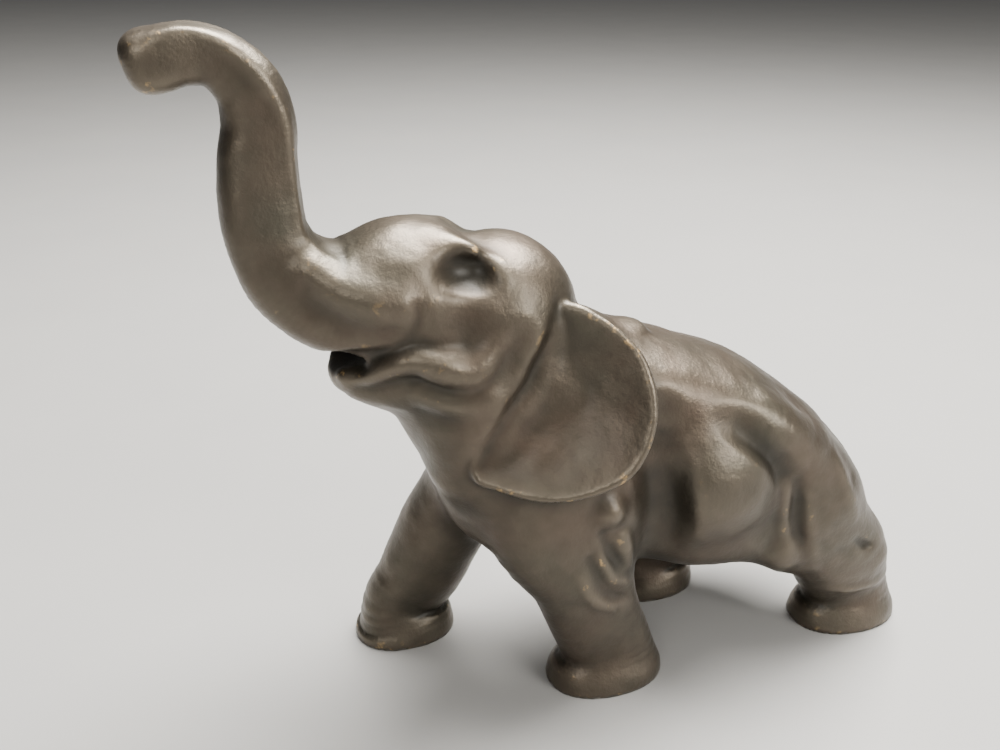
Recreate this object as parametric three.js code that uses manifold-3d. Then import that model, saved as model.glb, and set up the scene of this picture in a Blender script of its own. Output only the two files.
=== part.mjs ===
// A small striding elephant, sand cast in bronze as a single piece.
// Millimetres, +Z up. The animal faces -Y and +X is its left side.
// Its form is built up like wax: rounded masses are blended into each other,
// hollows are pressed in, and the whole skin is then faceted for casting.
import * as THREE from "three";
import ManifoldModule from "manifold-3d";

// Each sole's centre across and along the animal, and its half length.
const LEFT_FORE_SOLE = [14, 1.3, 14.3];
const RIGHT_FORE_SOLE = [-16, -41.8, 12.6];
const LEFT_HIND_SOLE = [11.6, 70, 14.4];
const RIGHT_HIND_SOLE = [-15.3, 25.5, 13.4];
const SOLE_HALF_WIDTH = 10;
const EAR_THICKNESS = 3;
const EAR_DISH = 3.6;
const EAR_BEAD = 0.15;
const TRUNK_TIP_HALF_WIDTH = 6.3;
const SKIN_GRID = 1.4;
const SKIN_FACETS = 9300;
const FAR_AWAY = 60;
const SLIVER = 1e-5;
const SOLE_SNAP = 0.06;

// ---- wax tools: blending, balls, limbs and the dished ear ----

function blend(a, b, soft) {
  const h = Math.max(soft - Math.abs(a - b), 0) / soft;
  return Math.min(a, b) - h * h * soft * 0.25;
}

function carve(a, b, soft) {
  return -blend(-a, b, soft);
}

function unitVector(v) {
  const l = Math.hypot(v[0], v[1], v[2]);
  return [v[0] / l, v[1] / l, v[2] / l];
}

function dot(a, b) {
  return a[0] * b[0] + a[1] * b[1] + a[2] * b[2];
}

function cross(a, b) {
  return [a[1] * b[2] - a[2] * b[1], a[2] * b[0] - a[0] * b[2], a[0] * b[1] - a[1] * b[0]];
}

// An ellipsoid; a power over 2 squares it up, and lean turns it about X, Y and Z in degrees.
function ball(centre, radii, lean = [0, 0, 0], power = 2) {
  const turn = new THREE.Euler(...lean.map((d) => (d * Math.PI) / 180), "ZYX");
  const m = new THREE.Matrix4().makeRotationFromEuler(turn).elements;
  const axes = [0, 1, 2].map((i) => [m[4 * i], m[4 * i + 1], m[4 * i + 2]]);
  const reach = [0, 1, 2].map((i) => {
    const spans = axes.map((axis, j) => Math.abs(axis[i]) * radii[j]);
    return power > 2 ? spans[0] + spans[1] + spans[2] : Math.hypot(...spans);
  });
  return {
    low: centre.map((c, i) => c - reach[i]),
    high: centre.map((c, i) => c + reach[i]),
    gap(x, y, z) {
      const o = [x - centre[0], y - centre[1], z - centre[2]];
      const length = Math.hypot(o[0], o[1], o[2]) + 1e-9;
      let sum = 0;
      for (let i = 0; i < 3; i++) sum += Math.abs(dot(o, axes[i]) / radii[i]) ** power;
      const scale = sum ** (1 / power) + 1e-9;
      return scale < 1e-3 ? -Math.min(...radii) : length - length / scale;
    },
  };
}

// A smooth run of stations, each [x, y, z, half width, half depth].
function smoothRun(stations, pieces) {
  const rows = stations.map((s) => (s.length === 4 ? [...s, s[3]] : s));
  const ends = (a, b) => a.map((v, i) => 2 * v - b[i]);
  if (rows.length === 2) {
    const line = [];
    for (let i = 0; i <= pieces; i++) {
      line.push(rows[0].map((v, k) => v + ((rows[1][k] - v) * i) / pieces));
    }
    return line;
  }
  const padded = [ends(rows[0], rows[1]), ...rows, ends(rows.at(-1), rows.at(-2))];
  const run = [];
  for (let i = 1; i < padded.length - 2; i++) {
    const [a, b, c, d] = padded.slice(i - 1, i + 3);
    for (let j = 0; j < pieces; j++) {
      const t = j / pieces;
      run.push(b.map((v, k) => {
        const slope = (c[k] - a[k]) * t;
        const bend = (2 * a[k] - 5 * v + 4 * c[k] - d[k]) * t * t;
        return 0.5 * (2 * v + slope + bend + (3 * v - 3 * c[k] + d[k] - a[k]) * t ** 3);
      }));
    }
  }
  run.push(rows.at(-1));
  return run;
}

// A limb: an oval section swept along a smooth run, its width kept across the animal.
function limb(stations, power = 2, pieces = 5) {
  const run = smoothRun(stations, pieces);
  const parts = [];
  for (let i = 0; i + 1 < run.length; i++) {
    const a = run[i];
    const b = run[i + 1];
    const along = [b[0] - a[0], b[1] - a[1], b[2] - a[2]];
    const length = Math.hypot(...along);
    const t = unitVector(along);
    const s = unitVector([1 - t[0] * t[0], -t[0] * t[1], -t[0] * t[2]]);
    parts.push({ a, b, along, square: length * length, t, s, n: cross(t, s) });
  }
  const widest = run.map((r) => Math.max(r[3], r[4]));
  return {
    low: [0, 1, 2].map((i) => Math.min(...run.map((r, j) => r[i] - widest[j]))),
    high: [0, 1, 2].map((i) => Math.max(...run.map((r, j) => r[i] + widest[j]))),
    gap(x, y, z) {
      let best = Infinity;
      let near = null;
      let share = 0;
      for (const part of parts) {
        const { a, along, square } = part;
        let k = ((x - a[0]) * along[0] + (y - a[1]) * along[1] + (z - a[2]) * along[2]) / square;
        k = k < 0 ? 0 : k > 1 ? 1 : k;
        const dx = x - a[0] - k * along[0];
        const dy = y - a[1] - k * along[1];
        const dz = z - a[2] - k * along[2];
        const d = dx * dx + dy * dy + dz * dz;
        if (d < best) {
          best = d;
          near = part;
          share = k;
        }
      }
      const { a, b, along, t, s, n } = near;
      const o = [0, 1, 2].map((i) => [x, y, z][i] - a[i] - share * along[i]);
      const width = Math.max(a[3] + (b[3] - a[3]) * share, 0.05);
      const depth = Math.max(a[4] + (b[4] - a[4]) * share, 0.05);
      const end = Math.min(width, depth);
      const sum = Math.abs(dot(o, s) / width) ** power
        + Math.abs(dot(o, n) / depth) ** power + Math.abs(dot(o, t) / end) ** power;
      const scale = sum ** (1 / power) + 1e-9;
      const length = Math.sqrt(best) + 1e-9;
      return scale < 1e-3 ? -end : length - length / scale;
    },
  };
}

// The stations of a flared foot, from the ankle to just below the floor.
function foot([x, y, halfLength]) {
  return [
    [x, y - 0.4, 9.5, SOLE_HALF_WIDTH - 2.6, halfLength - 3],
    [x, y, 3.2, SOLE_HALF_WIDTH - 0.4, halfLength - 0.4],
    [x, y, -2, SOLE_HALF_WIDTH + 0.2, halfLength + 0.2],
  ];
}

// An ear: a sheet dished by EAR_DISH with a beaded rim. Its outline is a ring of
// [bearing in degrees, reach], with bearing 0 toward the rear and 90 upward.
function earSheet(centre, rearward, upward, ring) {
  const v = unitVector(rearward);
  const lift = dot(upward, v);
  const u = unitVector(upward.map((c, i) => c - lift * v[i]));
  const w = cross(v, u);
  const closed = [
    ...ring.slice(-2).map(([a, r]) => [a - 360, r]), ...ring,
    ...ring.slice(0, 2).map(([a, r]) => [a + 360, r]),
  ];
  const slope = (i) => {
    const [before, here, after] = [closed[i - 1], closed[i], closed[i + 1]];
    const h0 = here[0] - before[0];
    const h1 = after[0] - here[0];
    const rise0 = (here[1] - before[1]) / h0;
    const rise1 = (after[1] - here[1]) / h1;
    return (rise0 * h1 + rise1 * h0) / (h0 + h1);
  };
  const reachAt = (bearing) => {
    let i = 1;
    while (i < closed.length - 3 && closed[i + 1][0] <= bearing) i++;
    const h = closed[i + 1][0] - closed[i][0];
    const t = (bearing - closed[i][0]) / h;
    return (2 * t ** 3 - 3 * t * t + 1) * closed[i][1] + (t ** 3 - 2 * t * t + t) * h * slope(i)
      + (3 * t * t - 2 * t ** 3) * closed[i + 1][1] + (t ** 3 - t * t) * h * slope(i + 1);
  };
  const rim = Array.from({ length: 361 }, (_, i) => reachAt(Math.min(i, 359.999)));
  const most = Math.max(...rim) + 2;
  return {
    low: centre.map((c) => c - most),
    high: centre.map((c) => c + most),
    gap(x, y, z) {
      const o = [x - centre[0], y - centre[1], z - centre[2]];
      const back = dot(o, v);
      const up = dot(o, u);
      const out = Math.hypot(back, up);
      const bearing = ((Math.atan2(up, back) * 180) / Math.PI + 360) % 360;
      const whole = Math.floor(bearing);
      const reach = rim[whole] + (rim[whole + 1] - rim[whole]) * (bearing - whole);
      const k = out / reach;
      const middle = -EAR_DISH * Math.min(Math.max(1 - k * k, 0), 1);
      const half = EAR_THICKNESS / 2 + EAR_BEAD * Math.exp(-(((k - 0.94) / 0.1) ** 2));
      const tilt = 1 / Math.hypot(1, (2 * EAR_DISH * k) / reach);
      const round = half * 0.9;
      const face = Math.abs(dot(o, w) - middle) * tilt - half + round;
      const edge = out - reach + round;
      return Math.hypot(Math.max(face, 0), Math.max(edge, 0))
        + Math.min(Math.max(face, edge), 0) - round;
    },
  };
}

// The same form on the animal's right side.
function mirrored(form) {
  return {
    low: [-form.high[0], form.low[1], form.low[2]],
    high: [-form.low[0], form.high[1], form.high[2]],
    gap: (x, y, z) => form.gap(-x, y, z),
  };
}

const steps = [];

function add(form, soft) {
  steps.push({ form, soft, join: blend });
}

function press(form, soft) {
  steps.push({ form, soft, join: carve });
}

function addPair(form, soft) {
  add(form, soft);
  add(mirrored(form), soft);
}

function pressPair(form, soft) {
  press(form, soft);
  press(mirrored(form), soft);
}

// ---- the animal, in the order a modeller would lay it up ----

// Barrel and back. The back falls from the withers to a low rump.
add(limb([[0, -16, 58, 15, 22], [0, 0, 53, 19, 24], [0, 20, 48, 20, 25], [0, 36, 43, 19.5, 21.5],
  [0, 52, 38, 17, 17]]), 1);
add(limb([[0, -8, 75.5, 15.5, 10], [0, 6, 73, 17, 11], [0, 20, 68.5, 18, 11], [0, 34, 62.5, 17.5, 11],
  [0, 47, 53.5, 14.5, 10], [0, 56, 44, 12, 8]], 2.3), 5);

// Throat, breast and neck.
add(limb([[0, -34, 78, 12.5, 11], [0, -31, 69, 14, 11.5], [0, -26.5, 59, 15, 11.5],
  [0, -22, 48, 14, 12], [0, -18, 42, 11, 11]]), 6);
add(limb([[0, -12, 72, 17, 20], [0, -26, 82, 16, 18]]), 8);

// Round flanks, with the belly's edge running back into each thigh.
addPair(ball([4, 24.5, 50.5], [22, 21.5, 22]), 5);
addPair(limb([[9, 24, 33, 9, 7], [11, 38, 31.5, 8, 7.5], [12, 48, 27, 7, 7.5]]), 6);

// Hollows: under the hip ridge and down the thigh, behind the shoulder, behind the ear.
pressPair(limb([[23.5, 18, 72, 3], [22.8, 26, 69.4, 4.6], [22, 34, 65, 5.8], [22, 40, 59, 6],
  [23.4, 43.5, 51, 5], [24.6, 44.5, 41, 3.8]]), 2.4);
pressPair(limb([[23, 8, 64, 4.8], [22.2, 9.5, 52, 5.6], [22.2, 10.5, 40, 5.4],
  [22.8, 11, 32, 4.8]]), 4);
pressPair(ball([22.5, 9.5, 73], [5, 6, 5]), 3);

// Hip ridge over the hollow, round the point of the hip and into the thigh.
addPair(limb([[10.5, 18, 68.5, 4], [13, 27, 66.6, 4.6], [15.4, 36, 63.4, 5.7], [15.8, 43, 57.8, 5.9],
  [15, 49, 50, 6], [14, 54, 42, 6.5]]), 5);

// Legs, each down to a flared foot that runs on below the floor and is sawn off there.
add(limb([[11, -12, 60, 11, 14], [13, -10.5, 44, 10, 16], [14, -6, 31, 9.5, 12.5],
  [14, -2, 17.5, 8, 11], ...foot(LEFT_FORE_SOLE)], 2.2), 6);
add(limb([[-9, -16, 58, 9, 12], [-12, -23, 46, 9, 11], [-14.5, -31, 30, 9, 11],
  [-15.5, -37, 17, 8.4, 10.9], ...foot(RIGHT_FORE_SOLE)], 2.2), 6);
add(limb([[10, 48, 50, 9, 9], [12, 54, 41, 9.5, 10.5], [12.5, 60, 29, 9.5, 12], [12, 66.5, 18, 9, 12.5],
  ...foot(LEFT_HIND_SOLE)], 2.2), 8);
add(limb([[-10, 44, 44, 10, 11], [-13, 38, 30, 9.5, 12], [-14.5, 30, 18, 9, 11],
  ...foot(RIGHT_HIND_SOLE)], 2.2), 6);

// Muscle down each side of the neck, in front of the ear.
addPair(limb([[8, -29, 59, 7, 9], [9.5, -28, 69, 7.5, 9], [9.5, -24.5, 80, 7.5, 8]]), 5);

// Skull: forehead dome, crown behind it, and the jaw below.
add(ball([0, -41, 97.3], [14, 16, 15.7], [0, 0, 0], 2.1), 6);
add(ball([0, -22, 91.5], [17, 17, 17]), 4);
add(limb([[0, -28, 84, 15, 13], [0, -42, 83, 12.5, 9.5]]), 5);

// Trunk, raised from the face and curled forward at its blunt tip.
add(limb([[0, -46, 98, 12.6, 11.5], [0, -52, 98, 11.8, 10.9], [0, -57.7, 99.5, 10.2, 10.3],
  [0, -63.3, 104, 8.8, 9], [0, -66.6, 111, 7.6, 8], [0, -67.2, 118.6, 6.8, 7.6],
  [0, -66.9, 125.5, 6.4, 7.2], [0, -66, 132.2, 6, 6.5], [0, -67.2, 138.8, 5.6, 5.9],
  [0, -72, 143.9, 5.4, 5.2], [0, -77.5, 144.9, 6, 5.4], [0, -81.8, 144, TRUNK_TIP_HALF_WIDTH, 5.6]],
  3, 6), 3);

// Crisp lower corner of the trunk where it meets the face.
addPair(limb([[7.6, -59.5, 106.5, 2.4], [9.8, -54.5, 102.6, 2.9], [11.4, -49.5, 100.6, 3.1],
  [12, -44.5, 99.8, 2.8]]), 4);

// The cheek, the brow and the eye socket under it.
addPair(ball([9, -34, 96], [7, 7, 8]), 5);
addPair(limb([[4.5, -35.5, 107.4, 2], [7.4, -32, 108.2, 2], [10, -28.8, 107.4, 1.9],
  [11.8, -26.4, 104.8, 1.6]]), 5);
pressPair(ball([15.8, -31, 105.6], [7, 6.6, 4.7], [0, -10, 0]), 3.2);
pressPair(ball([19.6, -33, 97], [5, 5.5, 7]), 3.5);
pressPair(limb([[5, -30.3, 112, 1], [10, -26.6, 110.6, 1.3], [15, -23.5, 106.2, 1.3]]), 3);

// Spoon-shaped lower lip under the open mouth.
add(limb([[0, -38, 81, 11, 8], [0, -46.5, 80.4, 10.5, 6.4], [0, -50.5, 80.8, 9.2, 5.4],
  [0, -53, 82, 7.6, 4.4]]), 3);
press(limb([[0, -50, 91, 7.4, 3.2], [0, -54, 90.6, 7.4, 3.6], [0, -60, 89.4, 6.6, 3.6]]), 2);

// Mouth line cut back along the trunk and up the cheek.
pressPair(limb([[6.5, -57.5, 88.8, 2.4], [11.6, -52, 89.6, 2.6], [15.4, -45.5, 91.4, 1.9],
  [15.8, -41.6, 97, 0.7], [15.6, -41.8, 101, 0.5]]), 1.2);

// Lip rim running back into the rolled jaw, and the fold below it.
addPair(limb([[5.6, -54.6, 83.2, 1.2], [9, -50.8, 84, 1.5], [11.8, -46.5, 87, 2.2],
  [13.6, -41.5, 88.4, 3], [14.4, -37, 87, 3.7], [14.7, -32, 85.6, 3.8], [14.8, -28, 86.8, 3.4],
  [14.6, -25.2, 90.5, 2.4]]), 2);
addPair(limb([[12, -40.5, 81, 2], [14.2, -35.5, 78.9, 2.4], [15, -30.5, 78.8, 2.5],
  [15.4, -26.5, 80.6, 2.3], [15, -24, 84.5, 1.8]]), 2.5);

// Hollow of the neck between jaw and ear.
pressPair(ball([22.5, -22.5, 87], [5, 5, 10]), 5);

// Ears.
addPair(earSheet([19.9, -11.7, 75.7], [0.349, 0.926, 0.145], [-0.384, 0, 0.923], [[0, 17.2], [17, 17.5],
  [35, 18.5], [50, 19.1], [68, 20.3], [85, 22], [98, 22], [120, 17], [159, 14.5], [193, 19],
  [203, 23.5], [210, 24.6], [222, 22.2], [236, 20.4], [250, 19.2], [266, 18.2], [283, 17.6],
  [302, 17.7], [322, 17.4], [341, 17.2]]), 1.5);

// ---- the skin over the wax ----

function gapAt(x, y, z) {
  let gap = FAR_AWAY;
  for (const { form, soft, join } of steps) {
    const m = soft + 3;
    const { low, high } = form;
    if (x < low[0] - m || x > high[0] + m || y < low[1] - m || y > high[1] + m) continue;
    if (z < low[2] - m || z > high[2] + m) continue;
    gap = join(gap, form.gap(x, y, z), soft);
  }
  return gap;
}

// Moves a point along the slope of the wax until it lies on the surface.
function settle(p) {
  const e = 0.15;
  const [x, y, z] = p;
  const gap = gapAt(x, y, z);
  const slope = [
    (gapAt(x + e, y, z) - gapAt(x - e, y, z)) / (2 * e),
    (gapAt(x, y + e, z) - gapAt(x, y - e, z)) / (2 * e),
    (gapAt(x, y, z + e) - gapAt(x, y, z - e)) / (2 * e),
  ];
  const limit = 0.6 * SKIN_GRID;
  const move = Math.min(Math.max(gap / Math.max(dot(slope, slope), 0.2), -limit), limit);
  return p.map((v, i) => v - slope[i] * move);
}

// One corner in every grid cell that the surface passes through, one quad per crossed edge.
function layNet(low, high, size) {
  const count = [0, 1, 2].map((i) => Math.ceil((high[i] - low[i]) / size) + 1);
  const stride = [1, count[0], count[0] * count[1]];
  const values = new Float64Array(count[0] * count[1] * count[2]).fill(FAR_AWAY);
  for (const { form, soft, join } of steps) {
    const m = soft + 3;
    const from = [0, 1, 2].map((i) => Math.max(Math.floor((form.low[i] - m - low[i]) / size), 0));
    const to = [0, 1, 2].map((i) =>
      Math.min(Math.ceil((form.high[i] + m - low[i]) / size), count[i] - 1));
    for (let k = from[2]; k <= to[2]; k++) {
      for (let j = from[1]; j <= to[1]; j++) {
        for (let i = from[0]; i <= to[0]; i++) {
          const at = i + j * stride[1] + k * stride[2];
          const gap = form.gap(low[0] + i * size, low[1] + j * size, low[2] + k * size);
          values[at] = join(values[at], gap, soft);
        }
      }
    }
  }
  const corner = new Map();
  const points = [];
  for (let k = 0; k < count[2] - 1; k++) {
    for (let j = 0; j < count[1] - 1; j++) {
      for (let i = 0; i < count[0] - 1; i++) {
        const at = i + j * stride[1] + k * stride[2];
        const sum = [0, 0, 0];
        let crossings = 0;
        for (let c = 0; c < 8; c++) {
          const bit = [c & 1, (c >> 1) & 1, (c >> 2) & 1];
          const a = values[at + bit[0] + bit[1] * stride[1] + bit[2] * stride[2]];
          for (let axis = 0; axis < 3; axis++) {
            if (bit[axis]) continue;
            const next = at + bit[0] + bit[1] * stride[1] + bit[2] * stride[2] + stride[axis];
            const b = values[next];
            if (a < 0 === b < 0) continue;
            const share = a / (a - b);
            for (let n = 0; n < 3; n++) sum[n] += bit[n] + (n === axis ? share : 0);
            crossings++;
          }
        }
        if (!crossings) continue;
        corner.set(at, points.length);
        points.push([i, j, k].map((v, n) => low[n] + (v + sum[n] / crossings) * size));
      }
    }
  }
  const quads = [];
  for (const at of corner.keys()) {
    for (let axis = 0; axis < 3; axis++) {
      const p = stride[(axis + 1) % 3];
      const q = stride[(axis + 2) % 3];
      const inside = values[at] < 0;
      if (inside === values[at + stride[axis]] < 0) continue;
      const around = [at, at - p, at - p - q, at - q].map((c) => corner.get(c));
      quads.push(inside ? around : around.reverse());
    }
  }
  return { points, quads };
}

// Evens out the net and settles it back onto the wax.
function relax({ points, quads }, rounds) {
  const neighbours = points.map(() => []);
  for (const quad of quads) {
    for (let i = 0; i < 4; i++) neighbours[quad[i]].push(quad[(i + 1) % 4]);
  }
  let now = points;
  for (let round = 0; round < rounds; round++) {
    now = now.map((p, i) => {
      const ring = neighbours[i];
      const mean = [0, 1, 2].map((n) => ring.reduce((s, j) => s + now[j][n], 0) / ring.length);
      return settle(p.map((v, n) => 0.4 * v + 0.6 * mean[n]));
    });
  }
  return { points: now, quads };
}

// ---- facets: the net is thinned edge by edge where that changes the form least ----

class CostHeap {
  constructor() {
    this.items = [];
  }

  push(item) {
    const { items } = this;
    let i = items.push(item) - 1;
    while (i > 0) {
      const up = (i - 1) >> 1;
      if (items[up].cost <= item.cost) break;
      items[i] = items[up];
      i = up;
    }
    items[i] = item;
  }

  pop() {
    const { items } = this;
    const top = items[0];
    const last = items.pop();
    if (items.length) {
      let i = 0;
      for (;;) {
        let down = 2 * i + 1;
        if (down >= items.length) break;
        if (down + 1 < items.length && items[down + 1].cost < items[down].cost) down++;
        if (items[down].cost >= last.cost) break;
        items[i] = items[down];
        i = down;
      }
      items[i] = last;
    }
    return top;
  }
}

function facetNormal(a, b, c) {
  return cross(b.map((v, i) => v - a[i]), c.map((v, i) => v - a[i]));
}

// Squared distance to a set of planes, kept as ten sums.
function planeSums(normal, offset, weight) {
  const [a, b, c] = normal;
  const d = offset;
  return [a * a, a * b, a * c, a * d, b * b, b * c, b * d, c * c, c * d, d * d]
    .map((v) => v * weight);
}

function planeError(s, [x, y, z]) {
  return s[0] * x * x + 2 * s[1] * x * y + 2 * s[2] * x * z + 2 * s[3] * x + s[4] * y * y
    + 2 * s[5] * y * z + 2 * s[6] * y + s[7] * z * z + 2 * s[8] * z + s[9];
}

function lowestPoint(s) {
  const [a, b, c, , d, e, , f] = s;
  const det = a * (d * f - e * e) - b * (b * f - c * e) + c * (b * e - c * d);
  if (Math.abs(det) < 1e-7) return null;
  const [r0, r1, r2] = [-s[3], -s[6], -s[8]];
  return [
    (r0 * (d * f - e * e) - b * (r1 * f - e * r2) + c * (r1 * e - d * r2)) / det,
    (a * (r1 * f - e * r2) - r0 * (b * f - c * e) + c * (b * r2 - r1 * c)) / det,
    (a * (d * r2 - r1 * e) - b * (b * r2 - r1 * c) + r0 * (b * e - c * d)) / det,
  ];
}

function spanBetween(a, b) {
  return Math.hypot(a[0] - b[0], a[1] - b[1], a[2] - b[2]);
}

function splitQuads({ points, quads }) {
  const facets = [];
  for (const [a, b, c, d] of quads) {
    const short = spanBetween(points[a], points[c]) <= spanBetween(points[b], points[d]);
    facets.push(...(short ? [[a, b, c], [a, c, d]] : [[a, b, d], [b, c, d]]));
  }
  return { corners: points, facets };
}

function thinOut({ corners: start, facets }, wanted) {
  const pos = start.map((p) => [...p]);
  const faces = facets.map((face) => [...face]);
  const around = pos.map(() => new Set());
  const sums = pos.map(() => new Array(10).fill(0));
  faces.forEach((face, f) => {
    const n = facetNormal(...face.map((v) => pos[v]));
    const area = Math.hypot(...n);
    const unit = n.map((v) => v / Math.max(area, SLIVER));
    const part = planeSums(unit, -dot(unit, pos[face[0]]), area);
    for (const v of face) {
      around[v].add(f);
      part.forEach((value, i) => {
        sums[v][i] += value;
      });
    }
  });
  const stamp = pos.map(() => 0);
  const heap = new CostHeap();
  const offer = (a, b) => {
    const joint = sums[a].map((v, i) => v + sums[b][i]);
    const middle = pos[a].map((v, i) => (v + pos[b][i]) / 2);
    const span = spanBetween(pos[a], pos[b]);
    const best = lowestPoint(joint);
    const usable = best && spanBetween(best, middle) < span;
    const choices = usable ? [best] : [middle, pos[a], pos[b]];
    const costs = choices.map((p) => planeError(joint, p));
    const pick = costs.indexOf(Math.min(...costs));
    const cost = costs[pick] + 1e-4 * span * span;
    heap.push({ cost, a, b, to: choices[pick], joint, when: stamp[a] + stamp[b] });
  };
  const ringOf = (v) => {
    const ring = new Set();
    for (const f of around[v]) for (const w of faces[f]) ring.add(w);
    ring.delete(v);
    return ring;
  };
  for (const face of faces) {
    for (let i = 0; i < 3; i++) {
      const [a, b] = [face[i], face[(i + 1) % 3]];
      if (a < b) offer(a, b);
    }
  }
  const folds = (v, other, to) => {
    for (const f of around[v]) {
      const face = faces[f];
      if (face.includes(other)) continue;
      const before = facetNormal(...face.map((w) => pos[w]));
      const moved = face.map((w) => (w === v ? to : pos[w]));
      const after = facetNormal(...moved);
      const size = Math.hypot(...after);
      const old = Math.hypot(...before);
      if (old > SLIVER && dot(before, after) < 0.3 * size * old) return true;
      const sides = [0, 1, 2].map((i) => spanBetween(moved[i], moved[(i + 1) % 3]));
      if (size < 0.06 * Math.max(...sides) ** 2) return true;
    }
    return false;
  };
  let left = faces.length;
  while (left > wanted && heap.items.length) {
    const { a, b, to, joint, when } = heap.pop();
    if (!pos[a] || !pos[b] || when !== stamp[a] + stamp[b]) continue;
    const ringA = ringOf(a);
    if (!ringA.has(b)) continue;
    const shared = [...ringOf(b)].filter((v) => ringA.has(v));
    if (shared.length !== 2 || folds(a, b, to) || folds(b, a, to)) continue;
    for (const f of [...around[b]]) {
      if (faces[f].includes(a)) {
        for (const v of faces[f]) around[v].delete(f);
        faces[f] = null;
        left--;
      } else {
        faces[f] = faces[f].map((v) => (v === b ? a : v));
        around[a].add(f);
      }
    }
    pos[a] = to;
    pos[b] = null;
    sums[a] = joint;
    const ring = ringOf(a);
    stamp[a] += 1;
    for (const v of ring) stamp[v] += 0.000001;
    for (const v of ring) offer(Math.min(a, v), Math.max(a, v));
    for (const v of ring) {
      for (const w of ringOf(v)) if (w !== a) offer(Math.min(v, w), Math.max(v, w));
    }
  }
  const index = new Map();
  const corners = [];
  pos.forEach((p, i) => {
    if (p && around[i].size) index.set(i, corners.push(p) - 1);
  });
  return { corners, facets: faces.filter(Boolean).map((face) => face.map((v) => index.get(v))) };
}

// ---- saw the feet flat at the floor and hand over the casting ----

const manifold = await ManifoldModule();
manifold.setup();

function toSolid({ corners, facets }) {
  const mesh = new manifold.Mesh({
    numProp: 3,
    vertProperties: new Float32Array(corners.flat()),
    triVerts: new Uint32Array(facets.flat()),
  });
  return new manifold.Manifold(mesh);
}

function boxSolid(width, depth, height, z) {
  const box = new THREE.BoxGeometry(width, depth, height).toNonIndexed();
  const places = box.getAttribute("position");
  const index = new Map();
  const corners = [];
  const facets = [];
  for (let i = 0; i < places.count; i++) {
    const p = [places.getX(i), places.getY(i), places.getZ(i) + z];
    const key = p.join();
    if (!index.has(key)) index.set(key, corners.push(p) - 1);
    if (i % 3 === 0) facets.push([]);
    facets.at(-1).push(index.get(key));
  }
  return toSolid({ corners, facets });
}

const net = relax(layNet([-40, -96, -14], [40, 96, 158], SKIN_GRID), 2);
const floor = boxSolid(200, 300, 20, -10);
const sawn = toSolid(splitQuads(net)).subtract(floor).getMesh();
const inThrees = (list) =>
  Array.from({ length: list.length / 3 }, (_, i) => Array.from(list.slice(3 * i, 3 * i + 3)));
const dense = { corners: inThrees(sawn.vertProperties), facets: inThrees(sawn.triVerts) };
const cast = thinOut(dense, SKIN_FACETS);
for (const corner of cast.corners) {
  if (corner[2] < SOLE_SNAP) corner[2] = 0;
}

const shape = new THREE.BufferGeometry();
shape.setAttribute("position", new THREE.Float32BufferAttribute(cast.corners.flat(), 3));
shape.setIndex(cast.facets.flat());
// The origin goes under the middle of the casting's length.
shape.computeBoundingBox();
shape.translate(0, -(shape.boundingBox.min.y + shape.boundingBox.max.y) / 2, 0);
shape.computeVertexNormals();
const patina = new THREE.MeshStandardMaterial({ color: 0x3a2e26, metalness: 0.8, roughness: 0.45 });
const elephant = new THREE.Mesh(shape, patina);
elephant.name = "elephant";

const part = new THREE.Group();
part.name = "bronze_elephant";
part.add(elephant);
export default part;
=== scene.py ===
# A small striding elephant, sand cast in bronze as one piece and patinated dark brown.
# The wax is built up in millimetres, with the animal facing -Y and its left side on +X.
import math

import bpy
import numpy as np
from mathutils import Euler, Matrix, Vector


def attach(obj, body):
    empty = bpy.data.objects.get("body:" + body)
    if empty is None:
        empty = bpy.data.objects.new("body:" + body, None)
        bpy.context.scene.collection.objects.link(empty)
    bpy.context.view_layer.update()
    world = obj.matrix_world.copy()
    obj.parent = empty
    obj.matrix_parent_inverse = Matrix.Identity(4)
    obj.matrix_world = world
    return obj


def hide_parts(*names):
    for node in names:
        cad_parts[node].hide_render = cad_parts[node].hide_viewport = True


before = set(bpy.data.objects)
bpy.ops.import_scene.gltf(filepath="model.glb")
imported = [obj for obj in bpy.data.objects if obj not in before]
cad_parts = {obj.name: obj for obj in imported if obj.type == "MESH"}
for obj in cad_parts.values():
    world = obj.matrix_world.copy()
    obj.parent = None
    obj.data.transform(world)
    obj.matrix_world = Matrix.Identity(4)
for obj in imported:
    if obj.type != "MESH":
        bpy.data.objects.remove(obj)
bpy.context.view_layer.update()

# ---- Barrel and back ----
# The barrel is one long mass of wax with a second laid on it for the back, which falls
# from the withers to a low rump. Every mass is smoothed into the one before it.


class Form:
    """A mass of wax: the box that it fills, and its gap, the distance outside its skin."""

    def __init__(self, low, high, gap):
        self.low, self.high, self.gap = np.array(low, float), np.array(high, float), gap

    def mirrored(self):
        flip = np.array([-1.0, 1.0, 1.0])
        low, high = self.low.copy(), self.high.copy()
        low[0], high[0] = -self.high[0], -self.low[0]
        return Form(low, high, lambda points: self.gap(points * flip))


def blend(a, b, soft):
    overlap = np.maximum(soft - np.abs(a - b), 0) / soft
    return np.minimum(a, b) - overlap * overlap * soft * 0.25


def carve(a, b, soft):
    return -blend(-a, b, soft)


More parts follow.
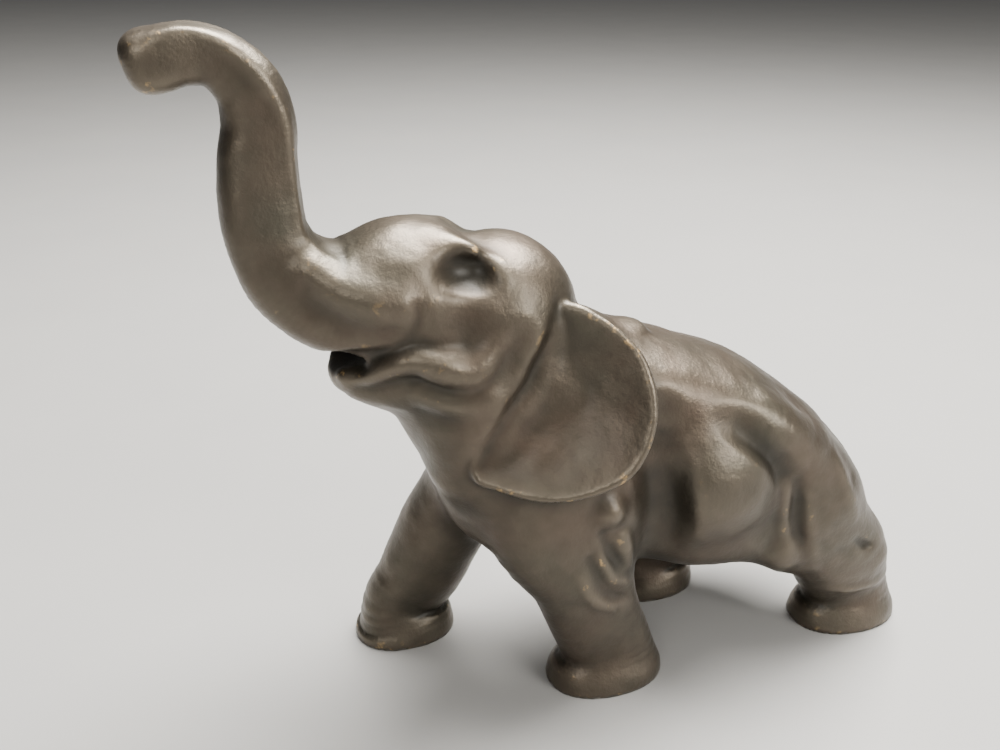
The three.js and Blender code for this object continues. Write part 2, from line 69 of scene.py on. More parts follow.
def smooth_run(stations, pieces):
    """A smooth curve through the stations, each x, y, z, half width and half depth."""
    rows = np.array([list(s) + [s[3]] * (5 - len(s)) for s in stations], float)
    if len(rows) == 2:
        share = np.linspace(0, 1, pieces + 1)[:, None]
        return rows[0] * (1 - share) + rows[1] * share
    padded = np.vstack([2 * rows[0] - rows[1], rows, 2 * rows[-1] - rows[-2]])
    run = []
    for a, b, c, d in zip(padded, padded[1:], padded[2:], padded[3:]):
        for t in np.arange(pieces) / pieces:
            bend = (2 * a - 5 * b + 4 * c - d) * t * t
            run.append(0.5 * (2 * b + (c - a) * t + bend + (3 * b - 3 * c + d - a) * t**3))
    return np.array(run + [rows[-1]])


def limb(stations, power=2, pieces=5):
    """An oval section swept along a smooth run, its width kept across the animal."""
    run = smooth_run(stations, pieces)
    places, sizes = run[:, :3], np.maximum(run[:, 3:], 0.05)

    def gap(points):
        best = np.full(len(points), np.inf)
        result = np.zeros(len(points))
        for i in range(len(run) - 1):
            along = places[i + 1] - places[i]
            length = math.sqrt(along @ along)
            share = np.clip((points - places[i]) @ along / length**2, 0, 1)[:, None]
            out = points - places[i] - share * along
            square = (out * out).sum(1)
            near = square < best
            best[near] = square[near]
            out, share = out[near], share[near]
            forward = along / length
            side = np.array([1.0, 0, 0]) - forward[0] * forward
            side /= np.linalg.norm(side)
            size = sizes[i] * (1 - share) + sizes[i + 1] * share
            end = size.min(1)
            reach = np.abs(out @ side / size[:, 0]) ** power
            reach += np.abs(out @ np.cross(forward, side) / size[:, 1]) ** power
            reach = (reach + np.abs(out @ forward / end) ** power) ** (1 / power) + 1e-9
            far = np.sqrt(square[near]) + 1e-9
            result[near] = np.where(reach < 1e-3, -end, far - far / reach)
        return result

    widest = sizes.max(1)[:, None]
    return Form((places - widest).min(0), (places + widest).max(0), gap)


wax = []


def add(form, soft):
    wax.append((form, soft, blend))


def press(form, soft):
    wax.append((form, soft, carve))


def add_pair(form, soft):
    add(form, soft)
    add(form.mirrored(), soft)


def press_pair(form, soft):
    press(form, soft)
    press(form.mirrored(), soft)


add(limb([[0, -16, 58, 15, 22], [0, 0, 53, 19, 24], [0, 20, 48, 20, 25], [0, 36, 43, 19.5, 21.5],
          [0, 52, 38, 17, 17]]), 1)
add(limb([[0, -8, 75.5, 15.5, 10], [0, 6, 73, 17, 11], [0, 20, 68.5, 18, 11],
          [0, 34, 62.5, 17.5, 11], [0, 47, 53.5, 14.5, 10], [0, 56, 44, 12, 8]], 2.3), 5)

# ---- Throat, breast and neck ----
# The neck rises steeply out of the shoulders, and the throat runs from the jaw down to
# the breast between the fore legs.
add(limb([[0, -34, 78, 12.5, 11], [0, -31, 69, 14, 11.5], [0, -26.5, 59, 15, 11.5],
          [0, -22, 48, 14, 12], [0, -18, 42, 11, 11]]), 6)
add(limb([[0, -12, 72, 17, 20], [0, -26, 82, 16, 18]]), 8)

# ---- Flanks and hips ----
# Round flanks, with hollows pressed in behind the shoulder and the ear and a deep one
# under the ridge that runs over the point of the hip into the thigh.


def ball(centre, radii, lean=(0, 0, 0), power=2):
    """An ellipsoid; a power over 2 squares it up, and lean turns it in degrees."""
    centre, radii = np.array(centre, float), np.array(radii, float)
    axes = np.array(Euler([math.radians(angle) for angle in lean]).to_matrix())
    reach = np.abs(axes) @ radii if power > 2 else np.sqrt(((axes * radii) ** 2).sum(1))

    def gap(points):
        out = (points - centre) @ axes
        far = np.sqrt((out * out).sum(1)) + 1e-9
        scale = (np.abs(out / radii) ** power).sum(1) ** (1 / power) + 1e-9
        return np.where(scale < 1e-3, -radii.min(), far - far / scale)

    return Form(centre - reach, centre + reach, gap)


add_pair(ball([4, 24.5, 50.5], [22, 21.5, 22]), 5)
add_pair(limb([[9, 24, 33, 9, 7], [11, 38, 31.5, 8, 7.5], [12, 48, 27, 7, 7.5]]), 6)
press_pair(limb([[23.5, 18, 72, 3], [22.8, 26, 69.4, 4.6], [22, 34, 65, 5.8],
                 [22, 40, 59, 6], [23.4, 43.5, 51, 5], [24.6, 44.5, 41, 3.8]]), 2.4)
press_pair(limb([[23, 8, 64, 4.8], [22.2, 9.5, 52, 5.6], [22.2, 10.5, 40, 5.4],
                 [22.8, 11, 32, 4.8]]), 4)
press_pair(ball([22.5, 9.5, 73], [5, 6, 5]), 3)
add_pair(limb([[10.5, 18, 68.5, 4], [13, 27, 66.6, 4.6], [15.4, 36, 63.4, 5.7],
               [15.8, 43, 57.8, 5.9], [15, 49, 50, 6], [14, 54, 42, 6.5]]), 5)

# ---- Legs and feet ----
# Four pillar legs in mid stride. Each flares into a round foot that is modelled on down
# past the floor line and sawn off flat there.
SOLE_HALF_WIDTH = 10


def foot(x, y, half_length):
    """The stations of a flared foot, from the ankle to just below the floor."""
    return [[x, y - 0.4, 9.5, SOLE_HALF_WIDTH - 2.6, half_length - 3],
            [x, y, 3.2, SOLE_HALF_WIDTH - 0.4, half_length - 0.4],
            [x, y, -2, SOLE_HALF_WIDTH + 0.2, half_length + 0.2]]


add(limb([[11, -12, 60, 11, 14], [13, -10.5, 44, 10, 16], [14, -6, 31, 9.5, 12.5],
          [14, -2, 17.5, 8, 11], *foot(14, 1.3, 14.3)], 2.2), 6)
add(limb([[-9, -16, 58, 9, 12], [-12, -23, 46, 9, 11], [-14.5, -31, 30, 9, 11],
          [-15.5, -37, 17, 8.4, 10.9], *foot(-16, -41.8, 12.6)], 2.2), 6)
add(limb([[10, 48, 50, 9, 9], [12, 54, 41, 9.5, 10.5], [12.5, 60, 29, 9.5, 12],
          [12, 66.5, 18, 9, 12.5], *foot(11.6, 70, 14.4)], 2.2), 8)
add(limb([[-10, 44, 44, 10, 11], [-13, 38, 30, 9.5, 12], [-14.5, 30, 18, 9, 11],
          *foot(-15.3, 25.5, 13.4)], 2.2), 6)

# ---- Head ----
# A domed forehead and crown set on the thick neck, with the heavy jaw under them and a
# flat muscle down each side of the neck in front of the ear.
add_pair(limb([[8, -29, 59, 7, 9], [9.5, -28, 69, 7.5, 9], [9.5, -24.5, 80, 7.5, 8]]), 5)
add(ball([0, -41, 97.3], [14, 16, 15.7], power=2.1), 6)
add(ball([0, -22, 91.5], [17, 17, 17]), 4)
add(limb([[0, -28, 84, 15, 13], [0, -42, 83, 12.5, 9.5]]), 5)

# ---- Trunk ----
# The trunk rises from the face in one sweep and curls forward at its blunt tip. Its
# section is squarish, with a flat upper face between two crisp corners.
TRUNK_TIP_HALF_WIDTH = 6.3
add(limb([[0, -46, 98, 12.6, 11.5], [0, -52, 98, 11.8, 10.9], [0, -57.7, 99.5, 10.2, 10.3],
          [0, -63.3, 104, 8.8, 9], [0, -66.6, 111, 7.6, 8], [0, -67.2, 118.6, 6.8, 7.6],
          [0, -66.9, 125.5, 6.4, 7.2], [0, -66, 132.2, 6, 6.5], [0, -67.2, 138.8, 5.6, 5.9],
          [0, -72, 143.9, 5.4, 5.2], [0, -77.5, 144.9, 6, 5.4],
          [0, -81.8, 144, TRUNK_TIP_HALF_WIDTH, 5.6]], 3, 6), 3)


def line_gap(points, line):
    """The distance to a smooth line, and how far along it the nearest place is."""
    best = np.full(len(points), np.inf)
    share_along = np.zeros(len(points))
    for i in range(len(line) - 1):
        along = line[i + 1] - line[i]
        share = np.clip((points - line[i]) @ along / (along @ along), 0, 1)
        out = points - line[i] - share[:, None] * along
        square = (out * out).sum(1)
        near = square < best
        best[near] = square[near]
        share_along[near] = (i + share[near]) / (len(line) - 1)
    return np.sqrt(best), share_along


def drawn(places, width, height):
    """A ridge drawn along the skin with a soft tool, or a groove where height is negative."""
    line = smooth_run([[*place, 1] for place in places], 4)[:, :3]

    def gap(points):
        far, share = line_gap(points, line)
        fade = np.sin(math.pi * (0.08 + 0.84 * share)) ** 0.6
        return height * fade * np.exp(-((far / width) ** 2))

    return Form(line.min(0) - 2.5 * width, line.max(0) + 2.5 * width, gap)


def raised(skin, height, soft):
    return skin - height


def draw(places, width, height):
    wax.append((drawn(places, width, height), 0, raised))


def draw_pair(places, width, height):
    draw(places, width, height)
    wax.append((drawn(places, width, height).mirrored(), 0, raised))


draw_pair([[6, -81.5, 148.5], [5.2, -75.6, 149.2], [5.3, -68.2, 144.5], [5.5, -62, 135.4],
           [6, -60.8, 123.1], [6.4, -60, 113.9], [7.4, -55.6, 107.9]], 1.5, 0.75)
add_pair(limb([[7.6, -59.5, 106.5, 2.4], [9.8, -54.5, 102.6, 2.9], [11.4, -49.5, 100.6, 3.1],
               [12, -44.5, 99.8, 2.8]]), 4)
draw([[0, -80.5, 150], [0, -75.5, 150], [0, -69, 147.5]], 3.2, -0.5)

# ---- Cheek, eye and brow ----
# The eye is a deep socket under an overhanging brow, with no eyeball. The cheek swells
# below it, and a crease parts it from the trunk.
add_pair(ball([9, -34, 96], [7, 7, 8]), 5)
add_pair(limb([[4.5, -35.5, 107.4, 2], [7.4, -32, 108.2, 2], [10, -28.8, 107.4, 1.9],
               [11.8, -26.4, 104.8, 1.6]]), 5)
press_pair(ball([15.8, -31, 105.6], [7, 6.6, 4.7], [0, -10, 0]), 3.2)
press_pair(ball([19.6, -33, 97], [5, 5.5, 7]), 3.5)
press_pair(limb([[5, -30.3, 112, 1], [10, -26.6, 110.6, 1.3], [15, -23.5, 106.2, 1.3]]), 3)

# ---- Mouth and jaw ----
# The mouth is open, with a spoon-shaped lower lip. A rim runs back from the lip into the
# rolled jaw, with a second fold under it.
add(limb([[0, -38, 81, 11, 8], [0, -46.5, 80.4, 10.5, 6.4], [0, -50.5, 80.8, 9.2, 5.4],
          [0, -53, 82, 7.6, 4.4]]), 3)
press(limb([[0, -48.5, 88.4, 7.6, 1.6], [0, -52, 87.2, 8, 2.3], [0, -57, 86.4, 7.6, 3],
            [0, -62, 86, 6.6, 3.6]]), 1.5)
press_pair(limb([[6.5, -57.5, 87.4, 2.2], [11.4, -52, 88.8, 2.2], [15.2, -45.5, 91, 1.8],
                 [15.8, -41.6, 97, 0.7], [15.6, -41.8, 101, 0.5]]), 1.2)
add_pair(limb([[5.6, -54.6, 83.2, 1.2], [9, -50.8, 84, 1.5], [11.8, -46.5, 87, 2.2],
               [13.6, -41.5, 88.4, 3], [14.4, -37, 87, 3.7], [14.7, -32, 85.6, 3.8],
               [14.8, -28, 86.8, 3.4], [14.6, -25.2, 90.5, 2.4]]), 2)
add_pair(limb([[12, -40.5, 81, 2], [14.2, -35.5, 78.9, 2.4], [15, -30.5, 78.8, 2.5],
               [15.4, -26.5, 80.6, 2.3], [15, -24, 84.5, 1.8]]), 2.5)
press_pair(ball([22.5, -22.5, 87], [5, 5, 10]), 5)

# ---- Ears ----
# Each ear is a thin dished sheet with a rounded rim, let into the neck along its straight
# front edge and standing clear of the shoulder behind.
EAR_THICKNESS = 3
EAR_DISH = 3.6
# The rim's reach from the middle of the ear, by bearing in degrees: 0 rearward, 90 up.
EAR_REACH = [[0, 17.2], [17, 17.5], [35, 18.5], [50, 19.1], [68, 20.3], [85, 22], [98, 22],
             [120, 17], [159, 14.5], [193, 19], [203, 23.5], [210, 24.6], [222, 22.2],
             [236, 20.4], [250, 19.2], [266, 18.2], [283, 17.6], [302, 17.7], [322, 17.4],
             [341, 17.2]]


def ear_sheet(centre, rearward, upward, ring):
    """A dished sheet whose outline is a ring of bearings and reaches."""
    centre = np.array(centre)
    back = np.array(rearward) / np.linalg.norm(rearward)
    up = np.array(upward) - (np.array(upward) @ back) * back
    up /= np.linalg.norm(up)
    out = np.cross(back, up)
    closed = np.array([[a - 360, r] for a, r in ring[-2:]] + ring
                      + [[a + 360, r] for a, r in ring[:2]], float)
    bearings = np.linspace(0, 360, 361)
    slopes = np.gradient(closed[:, 1], closed[:, 0])
    i = np.clip(np.searchsorted(closed[:, 0], bearings, side="right") - 1, 0, len(closed) - 2)
    span = closed[i + 1, 0] - closed[i, 0]
    t = (bearings - closed[i, 0]) / span
    rim = (2 * t**3 - 3 * t * t + 1) * closed[i, 1] + (t**3 - 2 * t * t + t) * span * slopes[i]
    rim += (3 * t * t - 2 * t**3) * closed[i + 1, 1] + (t**3 - t * t) * span * slopes[i + 1]
    most = rim.max() + 2

    def gap(points):
        place = points - centre
        rear, high, side = place @ back, place @ up, place @ out
        far = np.hypot(rear, high)
        reach = np.interp(np.degrees(np.arctan2(high, rear)) % 360, bearings, rim)
        k = far / reach
        middle = -EAR_DISH * np.clip(1 - k * k, 0, 1)
        tilt = 1 / np.hypot(1, 2 * EAR_DISH * k / reach)
        round_off = EAR_THICKNESS * 0.47
        face = np.abs(side - middle) * tilt - EAR_THICKNESS / 2 + round_off
        edge = far - reach + round_off
        outside = np.hypot(np.maximum(face, 0), np.maximum(edge, 0))
        return outside + np.minimum(np.maximum(face, edge), 0) - round_off

    return Form(centre - most, centre + most, gap)


add_pair(ear_sheet([19.9, -11.7, 75.7], [0.349, 0.926, 0.145], [-0.384, 0, 0.923], EAR_REACH), 1.5)
ear_root = [[12.9, -12.2, 97.2], [15.3, -14.4, 92], [16, -17.3, 86.2], [16.5, -19.9, 81.2],
            [17.9, -25.1, 74.8], [17.6, -30.4, 65.1], [17.8, -31.7, 61.9]]
draw_pair(ear_root[:6], 1.9, -1)
draw_pair([[x, y - 3.4, z] for x, y, z in ear_root[1:5]], 2.8, 0.8)

# ---- Hand work on the wax ----
# Folds, knobs and creases drawn with a modelling tool: elbow rolls on the near fore leg,
# skin folds on the thigh, the tail laid down the rump and the lump on the withers.
add(ball([-1, 8, 82.9], [4.2, 5, 2.3]), 3)
add(ball([20.6, -2.5, 51], [3.2, 3, 3.2]), 3)
add(limb([[20.2, 0.4, 43.5, 1.9], [20.3, 1.6, 40, 1.8], [20, 2.8, 36, 1.3]]), 2)
draw([[22.6, -4.6, 46], [22.4, -2.4, 41], [21.6, 0, 36.5]], 1.2, -1.1)
draw([[23.2, -7.5, 40.5], [23.4, -3.6, 31.7], [22.4, 0, 28.4], [21.3, 3.7, 26.6]], 1.4, -1)
draw([[23.4, -9.6, 36], [23.4, -6.4, 29.4], [22.6, -1, 25.4]], 1.3, 0.9)
draw([[22.9, -5.2, 40.5], [22.8, -2, 34.6], [21.4, 2.6, 31]], 1.1, 0.9)
draw([[20.7, 40.5, 50], [20.6, 41.6, 46.5], [20.1, 42.4, 39.5], [19.4, 44.4, 31]], 1.7, 0.8)
draw([[21.3, 43.6, 50], [21.2, 44.4, 43.5], [20.8, 45.6, 36], [20.2, 47.6, 28]], 1.7, -0.8)
draw([[21.9, 47, 46], [21.6, 48.6, 39], [20.8, 50.6, 31], [19.8, 53, 23]], 1.6, 0.6)
draw([[19.5, 54.5, 54], [22, 57.3, 45.5], [22, 61, 37.5]], 1.8, 0.6)
draw([[10, 57, 53.5], [10.5, 62, 45.5], [11, 67, 37.5]], 1.4, -1.3)
draw([[6, 58.5, 53], [6.5, 64, 45.5], [7, 69, 37.5]], 2.2, 1.2)
add(ball([17, 45, 28.5], [3.8, 4.5, 5]), 3)
add(ball([16.5, 72.6, 21.6], [2.6, 2.8, 2.6]), 2)
draw([[21.4, 63, 30], [19.6, 67, 27], [15, 72, 25.4]], 1.4, -1.1)
draw([[20, 58.5, 14.5], [20.8, 64, 14], [19.8, 72, 13.5], [16, 79, 14]], 1.6, 0.7)
draw([[-9.5, -46.6, 24.4], [-10, -46.8, 21.8], [-10.6, -47, 19.4]], 0.7, -1.2)

# ---- The casting ----
# The finished wax becomes one closed bronze skin of small even facets. The feet are sawn
# flat, the surface keeps the unevenness of hand work and sand, and recesses are known
# from high places so that the patina can gather or be rubbed away there. How closed in
# each place is, an ambient occlusion, is kept too, so that shade can be painted into the patina.
SKIN_STEP = 0.76
# Each layer of unevenness: the length of its bumps, their height and its random seed.
BUMP_LAYERS = [(9, 0.22, 3), (4, 0.13, 5), (1.7, 0.05, 8)]
FINE_ROUNDS, BROAD_ROUNDS = 6, 40
FINE_HEIGHT, BROAD_HEIGHT = 0.25, 1.6
SHELTER_REACHES = (3, 7, 12)
BLOCK = 4
FAR_AWAY = 60.0
MILLIMETRE = 0.001
LOW = np.array([-38.0, -95.0, -2.66])
HIGH = np.array([38.0, 92.0, 156.0])
MIDDLE_LENGTHWISE = -1.72


def skin_gap(points):
    """How far each point lies outside the wax, with the feet sawn off at the floor."""
    result = np.full(len(points), FAR_AWAY)
    for form, soft, join in wax:
        margin = soft + 3
        near = np.all((points > form.low - margin) & (points < form.high + margin), axis=1)
        if near.any():
            result[near] = join(result[near], form.gap(points[near]), soft)
    return carve(result, points[:, 2], 0.5)


def sampled_gaps():
    """The gap on an even grid, worked out only near the skin and by its sign elsewhere."""
    blocks = np.ceil((HIGH - LOW) / (SKIN_STEP * BLOCK)).astype(int)
    index = np.stack(np.meshgrid(*map(np.arange, blocks), indexing="ij"), -1).reshape(-1, 3)
    middles = LOW + (index * BLOCK + (BLOCK - 1) / 2) * SKIN_STEP
    rough = skin_gap(middles)
    within = np.stack(np.meshgrid(*[np.arange(BLOCK)] * 3, indexing="ij"), -1).reshape(-1, 3)
    gaps = np.empty(blocks * BLOCK, np.float32)
    for axis_block in within:
        gaps[axis_block[0]::BLOCK, axis_block[1]::BLOCK, axis_block[2]::BLOCK] = (
            np.where(rough > 0, FAR_AWAY, -FAR_AWAY).reshape(blocks))
    close = index[np.abs(rough) < 5.5]
    nodes = (close[:, None] * BLOCK + within[None]).reshape(-1, 3)
    gaps[tuple(nodes.T)] = skin_gap(LOW + nodes * SKIN_STEP)
    return gaps


def net(gaps):
    """One corner in each cell that the skin crosses, and a quad round each crossed edge."""
    inside = gaps < 0
    cells = np.array(gaps.shape) - 1
    count = np.zeros(cells, np.int8)
    corners = [(x, y, z) for x in (0, 1) for y in (0, 1) for z in (0, 1)]
    for x, y, z in corners:
        count += inside[x:x + cells[0], y:y + cells[1], z:z + cells[2]]
    crossed = (count > 0) & (count < 8)
    cell = np.argwhere(crossed)
    number = np.full(cells, -1)
    number[crossed] = np.arange(len(cell))
    total, crossings = np.zeros((len(cell), 3)), np.zeros(len(cell))
    for corner in corners:
        for axis in range(3):
            if corner[axis]:
                continue
            other = list(corner)
            other[axis] = 1
            here = gaps[tuple((cell + corner).T)]
            there = gaps[tuple((cell + other).T)]
            cut = (here < 0) != (there < 0)
            place = np.tile(np.array(corner, float), (cut.sum(), 1))
            place[:, axis] = here[cut] / (here[cut] - there[cut])
            total[cut] += place
            crossings[cut] += 1
    places = LOW + (cell + total / crossings[:, None]) * SKIN_STEP
    quads = []
    for axis in range(3):
        first, second = [(1, 2), (2, 0), (0, 1)][axis]
        start = [slice(1, n) for n in cells]
        end = [slice(1, n) for n in cells]
        start[axis], end[axis] = slice(0, cells[axis]), slice(1, cells[axis] + 1)
        here, there = inside[tuple(start)], inside[tuple(end)]
        edge = np.argwhere(here != there)
        leaving = here[tuple(edge.T)]
        for side in (first, second):
            edge[:, side] += 1
        ring = []
        for back_first, back_second in ((0, 0), (1, 0), (1, 1), (0, 1)):
            place = edge.copy()
            place[:, first] -= back_first
            place[:, second] -= back_second
            ring.append(number[tuple(place.T)])
        ring = np.stack(ring, 1)
        ring[~leaving] = ring[~leaving][:, ::-1]
        quads.append(ring)
    return places, np.vstack(quads)


def neighbour_mean(values, edges):
    """Each corner's mean over the corners that it shares an edge with."""
    ends = np.concatenate([edges[:, 0], edges[:, 1]])
    others = np.concatenate([edges[:, 1], edges[:, 0]])
    count = np.bincount(ends, minlength=len(values))
    sums = [np.bincount(ends, values[others, i], len(values)) for i in range(values.shape[1])]
    return np.stack(sums, 1) / count[:, None]


def skin_slope(places, reach=0.2):
    """The direction in which the gap grows, from four probes round each place."""
    slope = np.zeros_like(places)
    for probe in np.array([[1, 1, 1], [1, -1, -1], [-1, 1, -1], [-1, -1, 1]]) * reach:
        slope += skin_gap(places + probe)[:, None] * probe
    return slope / (4 * reach * reach)


def settle(places):
    """Moves each corner onto the skin."""
    slope = skin_slope(places)
    steep = np.maximum((slope * slope).sum(1), 0.2)
    step = np.clip(skin_gap(places) / steep, -0.6 * SKIN_STEP, 0.6 * SKIN_STEP)
    return places - slope * step[:, None]


def unevenness(places, cell, seed):
    """Smooth random bumps of about one cell's length, from -1 to 1."""
    bumps = np.random.default_rng(seed).uniform(-1, 1, (128, 128, 128))
    scaled = places / cell + 40
    base = np.floor(scaled).astype(int)
    t = scaled - base
    t = t * t * (3 - 2 * t)
    result = np.zeros(len(places))
    for x in (0, 1):
        for y in (0, 1):
            for z in (0, 1):
                share = np.abs(1 - x - t[:, 0]) * np.abs(1 - y - t[:, 1]) * np.abs(1 - z - t[:, 2])
                result += share * bumps[tuple(((base + [x, y, z]) % 128).T)]
    return result


places, quads = net(sampled_gaps())
sides = np.concatenate([quads[:, [i, (i + 1) % 4]] for i in range(4)])
edges = np.unique(np.sort(sides, 1), axis=0)
for _ in range(2):
    places = settle(0.4 * places + 0.6 * neighbour_mean(places, edges))
outward = skin_slope(places)
outward /= np.linalg.norm(outward, axis=1)[:, None]
above = np.clip(places[:, 2] / 1.5, 0, 1)
bumps = sum(height * unevenness(places, cell, seed) for cell, height, seed in BUMP_LAYERS)
places += outward * (above * bumps)[:, None]
places[places[:, 2] < 0.08, 2] = 0

smoothed, shares = places, []
for rounds in (FINE_ROUNDS, BROAD_ROUNDS):
    for _ in range(rounds):
        smoothed = 0.3 * smoothed + 0.7 * neighbour_mean(smoothed, edges)
    shares.append(((places - smoothed) * outward).sum(1))
fine_height, broad_height = shares

# Ambient occlusion: how closed in by the skin each place is. The patina uses it to paint shade.
shelter = np.zeros(len(places))
for reach in SHELTER_REACHES:
    shelter += np.clip(1 - skin_gap(places + outward * reach) / reach, 0, 1) / len(SHELTER_REACHES)

mesh = bpy.data.meshes.new("cast_elephant")
placed = (places - [0, MIDDLE_LENGTHWISE, 0]) * MILLIMETRE
mesh.from_pydata(placed.tolist(), [], quads.tolist())
mesh.polygons.foreach_set("use_smooth", np.ones(len(quads), bool))
for name, share in (("fine_height", 0.5 + 0.5 * fine_height / FINE_HEIGHT),
                    ("broad_height", 0.5 + 0.5 * broad_height / BROAD_HEIGHT),
                    ("shelter", shelter)):
    attribute = mesh.attributes.new(name, "FLOAT", "POINT")
    attribute.data.foreach_set("value", np.clip(share, 0, 1).astype(np.float32))
mesh.update()
elephant = bpy.data.objects.new("cast_elephant", mesh)
bpy.context.scene.collection.objects.link(elephant)
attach(elephant, "root")
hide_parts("elephant")

# ---- Patina ----
# A dark brown chemical patina over bronze, waxed and handled: rubbed lighter and glossier
# on high places, worn through to gold on the rims, and matt and nearly black in recesses,
# partly patina gathered in crevices and partly painted shade where the skin closes round.
OLIVE_BROWN = (0.04, 0.036, 0.024)
WARM_BROWN = (0.066, 0.045, 0.03)
RUBBED_BROWN = (0.13, 0.108, 0.078)
# Near black for crevice patina and for painted shade in closed-in places.
CREVICE_PATINA_AND_SHADE_BROWN = (0.02, 0.017, 0.011)
BARE_BRONZE = (0.5, 0.33, 0.14)


class Value:
    """A number that varies over the surface; arithmetic on it adds Math nodes."""

    def __init__(self, finish, socket):
        self.finish, self.socket = finish, socket

    def math(self, operation, first, second=0.0, clamp=False):
        settings = {"operation": operation, "use_clamp": clamp}
        inputs = {0: first, 1: second}
        return Value(self.finish, self.finish.node("ShaderNodeMath", settings, inputs))

    def __add__(self, other):
        return self.math("ADD", self, other)

    def __sub__(self, other):
        return self.math("SUBTRACT", self, other)

    def __rsub__(self, other):
        return self.math("SUBTRACT", other, self)

    def __mul__(self, other):
        return self.math("MULTIPLY", self, other)

    __radd__ = __add__
    __rmul__ = __mul__

    def share(self, low, high):
        """0 where the value is low, 1 where it is high, and in proportion between."""
        return self.math("MULTIPLY", self - low, 1 / (high - low), clamp=True)


class Finish:
    """A material under construction. node() makes any node and gives one output back."""

    def __init__(self, name):
        self.material = bpy.data.materials.new(name)
        self.material.use_nodes = True
        self.tree = self.material.node_tree
        self.tree.nodes.clear()

    def node(self, kind, settings=None, inputs=None, output=0):
        made = self.tree.nodes.new(kind)
        for setting, value in (settings or {}).items():
            setattr(made, setting, value)
        for socket, value in (inputs or {}).items():
            if isinstance(value, Value):
                value = value.socket
            if isinstance(value, bpy.types.NodeSocket):
                self.tree.links.new(value, made.inputs[socket])
            else:
                made.inputs[socket].default_value = value
        return made.outputs[output] if made.outputs else None

    def value(self, kind, settings=None, inputs=None, output=0):
        return Value(self, self.node(kind, settings, inputs, output))

    def tint(self, below, above, share):
        """One colour where share is 0 and another where it is 1."""
        colours = [(*c, 1) if isinstance(c, tuple) else c for c in (below, above)]
        settings = {"data_type": "RGBA"}
        return self.node("ShaderNodeMix", settings, {0: share, 6: colours[0], 7: colours[1]}, 2)


def grain(finish, place, size_mm, detail=3.0):
    """Even random grain of about this size, from 0 to 1."""
    inputs = {"Vector": place, "Scale": 1000 / size_mm, "Detail": detail, "Roughness": 0.55}
    return finish.value("ShaderNodeTexNoise", {}, inputs, "Fac")


patina = Finish("bronze_patina")
place = patina.node("ShaderNodeTexCoord", {}, {}, "Object")
fine = patina.value("ShaderNodeAttribute", {"attribute_name": "fine_height"}, {}, "Fac")
broad = patina.value("ShaderNodeAttribute", {"attribute_name": "broad_height"}, {}, "Fac")
sheltered = patina.value("ShaderNodeAttribute", {"attribute_name": "shelter"}, {}, "Fac")
cloud = grain(patina, place, 22)
mottle = grain(patina, place, 5)
sand = grain(patina, place, 0.9)
speck = grain(patina, place, 2.2, 4.0)

# Painted shade and crevice patina: the shelter term is ambient occlusion, and the height terms
# mark hollows.
crevice_patina_and_shade = sheltered.share(0.08, 0.45) * 0.65 + (1 - broad).share(0.5, 0.9) * 0.35
crevice_patina_and_shade = crevice_patina_and_shade + (1 - fine).share(0.55, 0.85) * 0.35
rubbed = (broad * 0.7 + fine * 0.3 + mottle * 0.3).share(0.6, 0.95)
worn = fine.share(0.68, 1) * speck.share(0.59, 0.68)

colour = patina.tint(OLIVE_BROWN, WARM_BROWN, cloud.share(0.3, 0.7))
colour = patina.tint(colour, RUBBED_BROWN, rubbed * 0.6)
# Darkens towards near black where the skin is hollow or closed in: crevice patina and painted
# shade.
colour = patina.tint(colour, CREVICE_PATINA_AND_SHADE_BROWN, crevice_patina_and_shade.share(0.05, 0.95))
colour = patina.tint(colour, BARE_BRONZE, worn * 0.6)
roughness = 0.48 - rubbed * 0.06 + crevice_patina_and_shade.share(0, 1) * 0.2 + (sand - 0.5) * 0.14
height = sand * 0.5 + speck * 0.35 + mottle * 0.3
bump = patina.node("ShaderNodeBump", {}, {"Strength": 0.8, "Distance": 0.0003, "Height": height})
shader = patina.node("ShaderNodeBsdfPrincipled", {}, {
    "Base Color": colour, "Metallic": 0.9, "Roughness": roughness, "Normal": bump,
    "Coat Weight": 0.5, "Coat Roughness": 0.42})
patina.node("ShaderNodeOutputMaterial", {}, {"Surface": shader})
mesh.materials.append(patina.material)

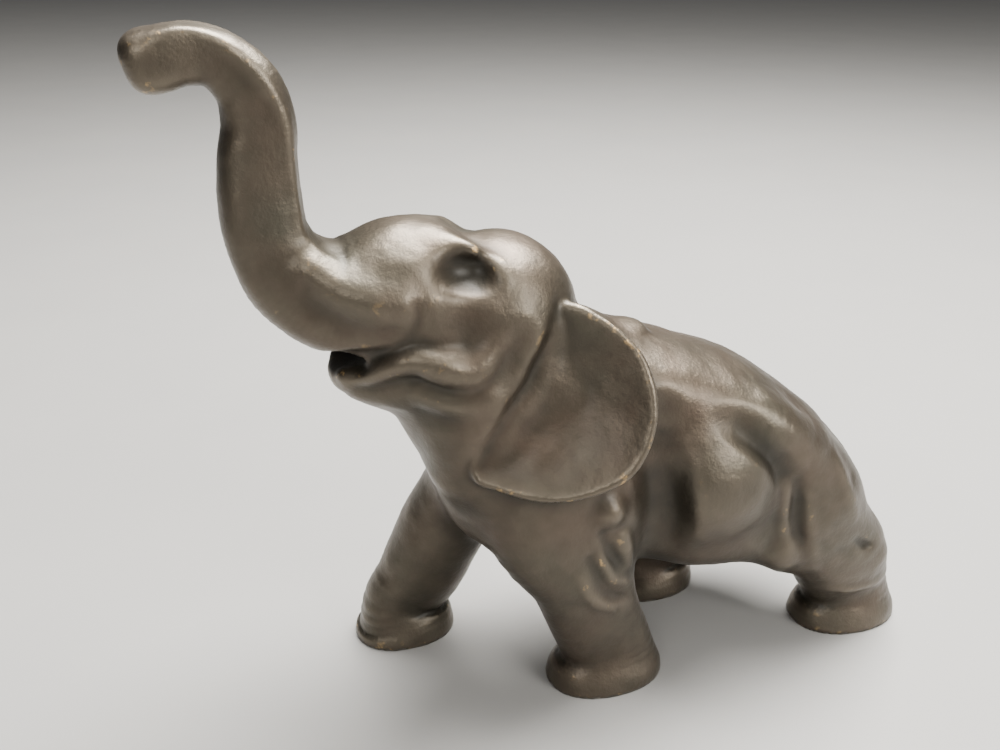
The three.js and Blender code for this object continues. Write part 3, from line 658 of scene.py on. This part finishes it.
# ---- Studio ----
# A pale matt table top under a wide ceiling light, one soft box above and behind, weaker
# ones from the side and the front, and a dim even surround.
FLOOR_HALF = 4
FLOOR_GREY, FLOOR_PALE_GREY = (0.24, 0.24, 0.238), (0.265, 0.263, 0.258)
LAMP_COLOUR = (1, 0.965, 0.91)
floor_mesh = bpy.data.meshes.new("studio_floor")
floor_corners = [(x * FLOOR_HALF, y * FLOOR_HALF, 0)
                 for x, y in ((-1, -1), (1, -1), (1, 1), (-1, 1))]
floor_mesh.from_pydata(floor_corners, [], [(0, 1, 2, 3)])
floor = bpy.data.objects.new("studio_floor", floor_mesh)
bpy.context.scene.collection.objects.link(floor)
table_top = Finish("pale_table")
floor_place = table_top.node("ShaderNodeTexCoord", {}, {}, "Object")
floor_cloud = grain(table_top, floor_place, 60)
floor_tone = table_top.tint(FLOOR_GREY, FLOOR_PALE_GREY, floor_cloud)
floor_shader = table_top.node("ShaderNodeBsdfPrincipled", {}, {
    "Base Color": floor_tone, "Roughness": 0.7})
table_top.node("ShaderNodeOutputMaterial", {}, {"Surface": floor_shader})
floor_mesh.materials.append(table_top.material)


def soft_light(name, place, aim, size, power):
    """A square soft box at place, turned towards aim."""
    lamp = bpy.data.lights.new(name, "AREA")
    lamp.size, lamp.energy = size, power
    lamp.color = LAMP_COLOUR
    box = bpy.data.objects.new(name, lamp)
    box.location = place
    box.rotation_euler = (Vector(aim) - Vector(place)).to_track_quat("-Z", "Y").to_euler()
    bpy.context.scene.collection.objects.link(box)


soft_light("ceiling", (0, 0, 2.6), (0, 0, 0), 3.2, 60)
soft_light("top_box", (-0.17, 0.2, 0.76), (0, 0, 0.06), 0.5, 42)
soft_light("side_box", (0.62, 0.44, 0.42), (0, 0, 0.06), 0.35, 8)
soft_light("front_box", (0.62, -0.46, 0.46), (0, 0, 0.06), 0.35, 3)

surround = bpy.data.worlds.new("surround")
surround.use_nodes = True
surround.node_tree.nodes["Background"].inputs["Color"].default_value = (0.62, 0.64, 0.66, 1)
surround.node_tree.nodes["Background"].inputs["Strength"].default_value = 0.1
bpy.context.scene.world = surround

lens = bpy.data.cameras.new("camera")
lens.lens = 34.2
lens.sensor_width = 36
lens.clip_start, lens.clip_end = 0.01, 10
camera = bpy.data.objects.new("camera", lens)
camera_right = Vector((0.2924, 0.9563, 0)).normalized()
camera_back = Vector((0.8631, -0.2639, 0.4305)).normalized()
camera_up = camera_back.cross(camera_right)
camera.matrix_world = Matrix.Translation((0.1781, -0.07356, 0.165)) @ Matrix(
    (camera_right, camera_up, camera_back)).transposed().to_4x4()
bpy.context.scene.collection.objects.link(camera)
bpy.context.scene.camera = camera
